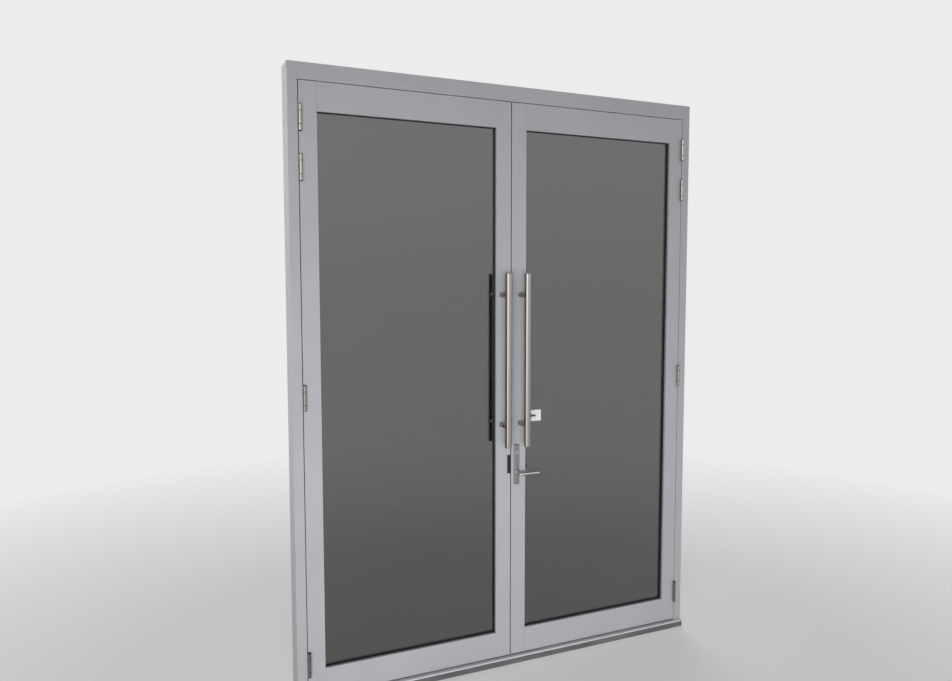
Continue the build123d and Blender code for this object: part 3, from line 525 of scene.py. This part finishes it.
def islands(node):
    """Limits of each separate solid in a node, lowest first."""
    mesh = bmesh.new()
    mesh.from_mesh(frame["nodes"][node].data)
    bmesh.ops.remove_doubles(mesh, verts=mesh.verts, dist=SAME_CORNER)
    matrix = frame["nodes"][node].matrix_world
    waiting = set(mesh.verts)
    found = []
    while waiting:
        reached = [waiting.pop()]
        solid = []
        while reached:
            vert = reached.pop()
            solid.append(matrix @ vert.co)
            for edge in vert.link_edges:
                other = edge.other_vert(vert)
                if other in waiting:
                    waiting.remove(other)
                    reached.append(other)
        low = Vector([min(place[axis] for place in solid) for axis in range(3)])
        high = Vector([max(place[axis] for place in solid) for axis in range(3)])
        found.append((low, high))
    mesh.free()
    return sorted(found, key=lambda limits: limits[0].z)


def hinge_screws(side, name):
    """Heads in the hinge plates, which show when a leaf stands open."""
    stile_low, stile_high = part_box(f"{name}_hinge_stile")
    leaf_front = stile_low.y
    frame_places = []
    for low, high in islands(f"{name}_hinge_frame_leaves"):
        x = high.x - PLATE_THICKNESS if side == RIGHT else low.x + PLATE_THICKNESS
        for z in (low.z + HINGE_SCREW_FROM_END, high.z - HINGE_SCREW_FROM_END):
            frame_places.extend((x, leaf_front + depth, z) for depth in HINGE_SCREW_DEPTHS)
    piece = f"{name}_frame_hinge_screws"
    screws(piece, "frame", "hinge_steel", frame_places, (-side, 0, 0), HINGE_SCREW_RADIUS)
    leaf_x = stile_high.x if side == RIGHT else stile_low.x
    door_places = []
    for low, high in islands(f"{name}_hinge_door_leaves"):
        for z in (low.z + DOOR_SCREW_FROM_END, high.z - DOOR_SCREW_FROM_END):
            door_places.append((leaf_x + side * PLATE_THICKNESS, leaf_front + DOOR_SCREW_DEPTH, z))
    piece = f"{name}_door_hinge_screws"
    screws(piece, f"{name}_leaf", "hinge_steel", door_places, (side, 0, 0), HINGE_SCREW_RADIUS)


def hinge_rings(side, name):
    """Black rings round the knuckles beside their joints and at the ends of each hinge."""
    mesh = bmesh.new()
    ring_radius = KNUCKLE_RADIUS + RING_RISE
    rings = ((0.0, ring_radius), (RING_HEIGHT, ring_radius))
    joint = MIDDLE_KNUCKLE / 2 + KNUCKLE_PLAY
    for low, high in islands(f"{name}_hinge_frame_leaves"):
        x = low.x + KNUCKLE_RADIUS if side == RIGHT else high.x - KNUCKLE_RADIUS
        middle = (low.z + high.z) / 2
        for z in (low.z, middle - joint - RING_HEIGHT, middle + joint, high.z - RING_HEIGHT):
            turned(mesh, Vector((x, low.y + KNUCKLE_RADIUS, z)), Vector((0, 0, 1)), rings, RING_SIDES)
    finish_piece(f"{name}_hinge_rings", mesh, "frame", materials["guide_plastic"])


def edge_screws(node, body, side):
    """A head near each end of the plates that lie flush in a leaf's meeting edge."""
    places = []
    for low, high in islands(node):
        x = low.x if side == RIGHT else high.x
        middle_y = (low.y + high.y) / 2
        heights = (low.z + EDGE_SCREW_FROM_END, high.z - EDGE_SCREW_FROM_END)
        places.extend((x, middle_y, z) for z in heights)
    screws(f"{node}_screws", body, "lock_steel", places, (-side, 0, 0), EDGE_SCREW_RADIUS)


def frame_screws():
    """Heads in the top bolt's strike plate and along the threshold."""
    low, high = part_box("top_bolt_strike")
    middle_y = (low.y + high.y) / 2
    places = [(x, middle_y, low.z) for x in (low.x + STRIKE_SCREW_FROM_END, high.x - STRIKE_SCREW_FROM_END)]
    screws("top_strike_screws", "frame", "lock_steel", places, (0, 0, -1), EDGE_SCREW_RADIUS)
    low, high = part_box("threshold_cover")
    y = high.y - SILL_SCREW_FROM_BACK
    start = low.x + SILL_SCREW_FROM_END
    step = (high.x - low.x - 2 * SILL_SCREW_FROM_END) / (SILL_SCREW_COUNT - 1)
    places = [(start + index * step, y, high.z) for index in range(SILL_SCREW_COUNT)]
    screws("threshold_screws", "frame", "lock_steel", places, (0, 0, 1), SILL_SCREW_RADIUS)


def slab(mesh, outline, front_y, back_y):
    """Adds a flat plate with that outline in X and Z."""
    front = [mesh.verts.new((x, front_y, z)) for x, z in outline]
    back = [mesh.verts.new((x, back_y, z)) for x, z in outline]
    mesh.faces.new(front)
    mesh.faces.new(reversed(back))
    for index in range(len(outline)):
        after = (index + 1) % len(outline)
        mesh.faces.new((front[index], back[index], back[after], front[after]))


def sign():
    """Small plain white plate on the active leaf's glass, with an arrow on it."""
    glass_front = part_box("right_glass")[0].y
    low_x = SIGN_RIGHT_X - SIGN_WIDTH
    low_z = SIGN_MIDDLE_Z - SIGN_HEIGHT / 2
    plate = bmesh.new()
    corners = []
    for x, z, start in (
        (SIGN_RIGHT_X, low_z + SIGN_HEIGHT, 0),
        (low_x, low_z + SIGN_HEIGHT, 90),
        (low_x, low_z, 180),
        (SIGN_RIGHT_X, low_z, 270),
    ):
        centre_x = x - SIGN_CORNER * (1 if x == SIGN_RIGHT_X else -1)
        centre_z = z - SIGN_CORNER * (1 if z > SIGN_MIDDLE_Z else -1)
        for step in range(SIGN_CORNER_STEPS + 1):
            angle = math.radians(start + 90 * step / SIGN_CORNER_STEPS)
            corner_x = centre_x + SIGN_CORNER * math.cos(angle)
            corner_z = centre_z + SIGN_CORNER * math.sin(angle)
            corners.append((corner_x, corner_z))
    plate_front = glass_front - SIGN_THICKNESS
    slab(plate, corners, plate_front, glass_front)
    finish_piece("sign_plate", plate, "right_leaf", sign_white)
    arrow = bmesh.new()
    middle_x = SIGN_RIGHT_X - SIGN_WIDTH / 2
    half = SIGN_HEIGHT * ARROW_SHARE
    outline = [(middle_x + half * a, SIGN_MIDDLE_Z + half * b) for a, b in ARROW_OUTLINE]
    slab(arrow, outline, plate_front - ARROW_THICKNESS, plate_front)
    finish_piece("sign_arrow", arrow, "right_leaf", sign_black)


# Surroundings
def make_floor():
    """Pale floor that keeps the object's shadow and fades into the background far away.

    What is mirrored passes through its far part to the graded surroundings.
    """
    data = bpy.data.meshes.new("floor")
    corners = [(x * FLOOR_HALF, y * FLOOR_HALF, 0.0) for x, y in ((-1, -1), (1, -1), (1, 1), (-1, 1))]
    data.from_pydata(corners, [], [(0, 1, 2, 3)])
    floor = bpy.data.objects.new("floor", data)
    bpy.context.scene.collection.objects.link(floor)
    material, tree, shader = new_material("pale_floor")
    clouds = noise(tree, scale=1.2, detail=5.0)
    tone = shaded(tree, clouds, FLOOR_COLOUR, dark=0.985, light=1.0)
    tree.links.new(tone, shader.inputs["Base Color"])
    shader.inputs["Roughness"].default_value = 0.6
    place = add_node(tree, "ShaderNodeTexCoord").outputs["Object"]
    far = add_node(tree, "ShaderNodeVectorMath", {0: place}, operation="LENGTH").outputs["Value"]
    fade = spread(tree, far, FLOOR_GLOW_NEAR, 1.0, start=FLOOR_FADE_START, end=FLOOR_FADE_END)
    rays = add_node(tree, "ShaderNodeLightPath").outputs
    seen = calculate(tree, "MAXIMUM", rays["Is Camera Ray"], rays["Is Transmission Ray"])
    glow = add_node(tree, "ShaderNodeEmission", {"Color": (*WORLD_SHOWN, 1.0)})
    shown = add_node(tree, "ShaderNodeMixShader", {
        0: calculate(tree, "MULTIPLY", seen, fade), 1: shader.outputs["BSDF"], 2: glow.outputs["Emission"],
    })
    away = add_node(tree, "ShaderNodeBsdfTransparent")
    mirrored = add_node(tree, "ShaderNodeMixShader", {
        0: calculate(tree, "MULTIPLY", rays["Is Glossy Ray"], fade),
        1: shown.outputs["Shader"],
        2: away.outputs["BSDF"],
    })
    strength = spread(tree, far, BOUNCE_NEAR, BOUNCE_FAR, BOUNCE_START, BOUNCE_END)
    bounce = add_node(tree, "ShaderNodeEmission", {"Color": (*BOUNCE_COLOUR, 1.0), "Strength": strength})
    mixed = add_node(tree, "ShaderNodeMixShader", {
        0: rays["Is Diffuse Ray"], 1: mirrored.outputs["Shader"], 2: bounce.outputs["Emission"],
    })
    tree.links.new(mixed.outputs["Shader"], tree.nodes["Material Output"].inputs["Surface"])
    dress(floor, material)


def make_world():
    """Pale background to the eye and through glass; metal and glass mirror a softly graded studio."""
    world = bpy.data.worlds.new("studio")
    bpy.context.scene.world = world
    world.use_nodes = True
    tree = world.node_tree
    tree.nodes.clear()
    way = add_node(tree, "ShaderNodeTexCoord").outputs["Generated"]
    along = add_node(tree, "ShaderNodeSeparateXYZ", {0: way}).outputs
    depth = calculate(tree, "ABSOLUTE", along["Y"], 0.0)
    ramp = add_node(tree, "ShaderNodeFloatCurve", {"Value": spread(tree, along["Z"], 0.0, 1.0, -1.0, 1.0)})
    curve = ramp.mapping.curves[0]
    peak = max(brightness for _, brightness in MIRRORED_HEIGHTS)
    for index, (place, brightness) in enumerate(MIRRORED_HEIGHTS):
        if index == 0:
            curve.points[0].location = (place, brightness / peak)
        elif index == len(MIRRORED_HEIGHTS) - 1:
            curve.points[-1].location = (place, brightness / peak)
        else:
            curve.points.new(place, brightness / peak)
    ramp.mapping.update()
    mirrored = calculate(tree, "MULTIPLY", ramp.outputs["Value"], peak)
    for direction, span, level in (
        (STREAK_DIRECTION, STREAK_SPAN, 1.0 + STREAK_GAIN),
        (DARK_DIRECTION, DARK_SPAN, 1.0 - DARK_SHARE),
        (DIM_DIRECTION, DIM_SPAN, 1.0 - DIM_SHARE),
    ):
        sideways = calculate(tree, "MULTIPLY", along["X"], -direction[0])
        turned_to = calculate(tree, "ADD", sideways, calculate(tree, "MULTIPLY", depth, direction[1]))
        band = spread(tree, turned_to, 1.0, level, *span, interpolation_type="SMOOTHSTEP")
        mirrored = calculate(tree, "MULTIPLY", mirrored, band)
    rays = add_node(tree, "ShaderNodeLightPath").outputs
    soft = {"Color": (*WORLD_LIGHT_COLOUR, 1.0), "Strength": WORLD_LIGHT}
    light = add_node(tree, "ShaderNodeBackground", soft)
    glossy = add_node(tree, "ShaderNodeBackground", {"Color": (1.0, 1.0, 1.0, 1.0), "Strength": mirrored})
    shown = add_node(tree, "ShaderNodeBackground", {"Color": (*WORLD_SHOWN, 1.0), "Strength": 1.0})
    unseen = add_node(tree, "ShaderNodeMixShader", {
        0: rays["Is Glossy Ray"], 1: light.outputs["Background"], 2: glossy.outputs["Background"],
    })
    seen = calculate(tree, "MAXIMUM", rays["Is Camera Ray"], rays["Is Transmission Ray"])
    mixed = add_node(tree, "ShaderNodeMixShader", {
        0: seen, 1: unseen.outputs["Shader"], 2: shown.outputs["Background"],
    })
    output = add_node(tree, "ShaderNodeOutputWorld")
    tree.links.new(mixed.outputs["Shader"], output.inputs["Surface"])


def area_light(name, place, target, size, power, colour=(1.0, 1.0, 1.0), spread_deg=180):
    """A soft panel that lights surfaces but isn't mirrored as a hard shape."""
    data = bpy.data.lights.new(name, "AREA")
    data.shape = "RECTANGLE"
    data.size, data.size_y = size
    data.spread = math.radians(spread_deg)
    data.energy = power
    data.color = colour
    lamp = bpy.data.objects.new(name, data)
    bpy.context.scene.collection.objects.link(lamp)
    lamp.location = place
    lamp.rotation_euler = (Vector(target) - Vector(place)).to_track_quat("-Z", "Y").to_euler()
    lamp.visible_camera = False
    lamp.visible_glossy = False
    lamp.visible_transmission = False


def make_lights():
    """A weak warm key, a low cool panel in front and a strong one behind."""
    area_light(
        "key", place=(-3.6, -5.4, 3.0), target=(0.0, 0.0, 1.2), size=(3.4, 2.6), power=22,
        colour=(1.0, 0.985, 0.965),
    )
    area_light(
        "front", place=(-2.2, -4.6, 0.9), target=(-0.2, 0.0, 0.75), size=(4.0, 1.0), power=52,
        colour=(0.985, 0.99, 1.0), spread_deg=80,
    )
    area_light("back", place=(2.5, 5.0, 3.2), target=(0.0, 0.0, 1.2), size=(3.4, 2.6), power=130)


def make_camera():
    """The photograph's viewpoint and framing."""
    data = bpy.data.cameras.new("camera")
    data.sensor_width = SENSOR_WIDTH_MM
    data.lens = FOCAL_PX * SENSOR_WIDTH_MM / IMAGE_WIDTH_PX
    data.clip_start = CLIP_NEAR
    data.clip_end = CLIP_FAR
    camera = bpy.data.objects.new("camera", data)
    bpy.context.scene.collection.objects.link(camera)
    heading = Matrix.Rotation(math.radians(-CAMERA_YAW_DEG), 4, "Z")
    tilt = Matrix.Rotation(math.radians(90 + CAMERA_PITCH_DEG), 4, "X")
    roll = Matrix.Rotation(math.radians(CAMERA_ROLL_DEG), 4, "Z")
    camera.matrix_world = Matrix.Translation(CAMERA_PLACE) @ heading @ tilt @ roll
    bpy.context.scene.camera = camera


dress_solids()
for side, name in ((LEFT, "left"), (RIGHT, "right")):
    for direction, way in ((OUTSIDE, "outside"), (INSIDE, "inside")):
        pull_bar(direction, f"{name}_leaf", f"{name}_{way}_pull", f"{name}_pull_bolts")
    hinge_screws(side, name)
    hinge_rings(side, name)
edge_screws("lock_forend", "right_leaf", RIGHT)
edge_screws("strike_plate", "left_leaf", LEFT)
edge_screws("flush_bolt_plates", "left_leaf", LEFT)
frame_screws()
sign()

make_camera()
make_world()
make_floor()
make_lights()
bpy.context.scene.view_settings.view_transform = "Standard"
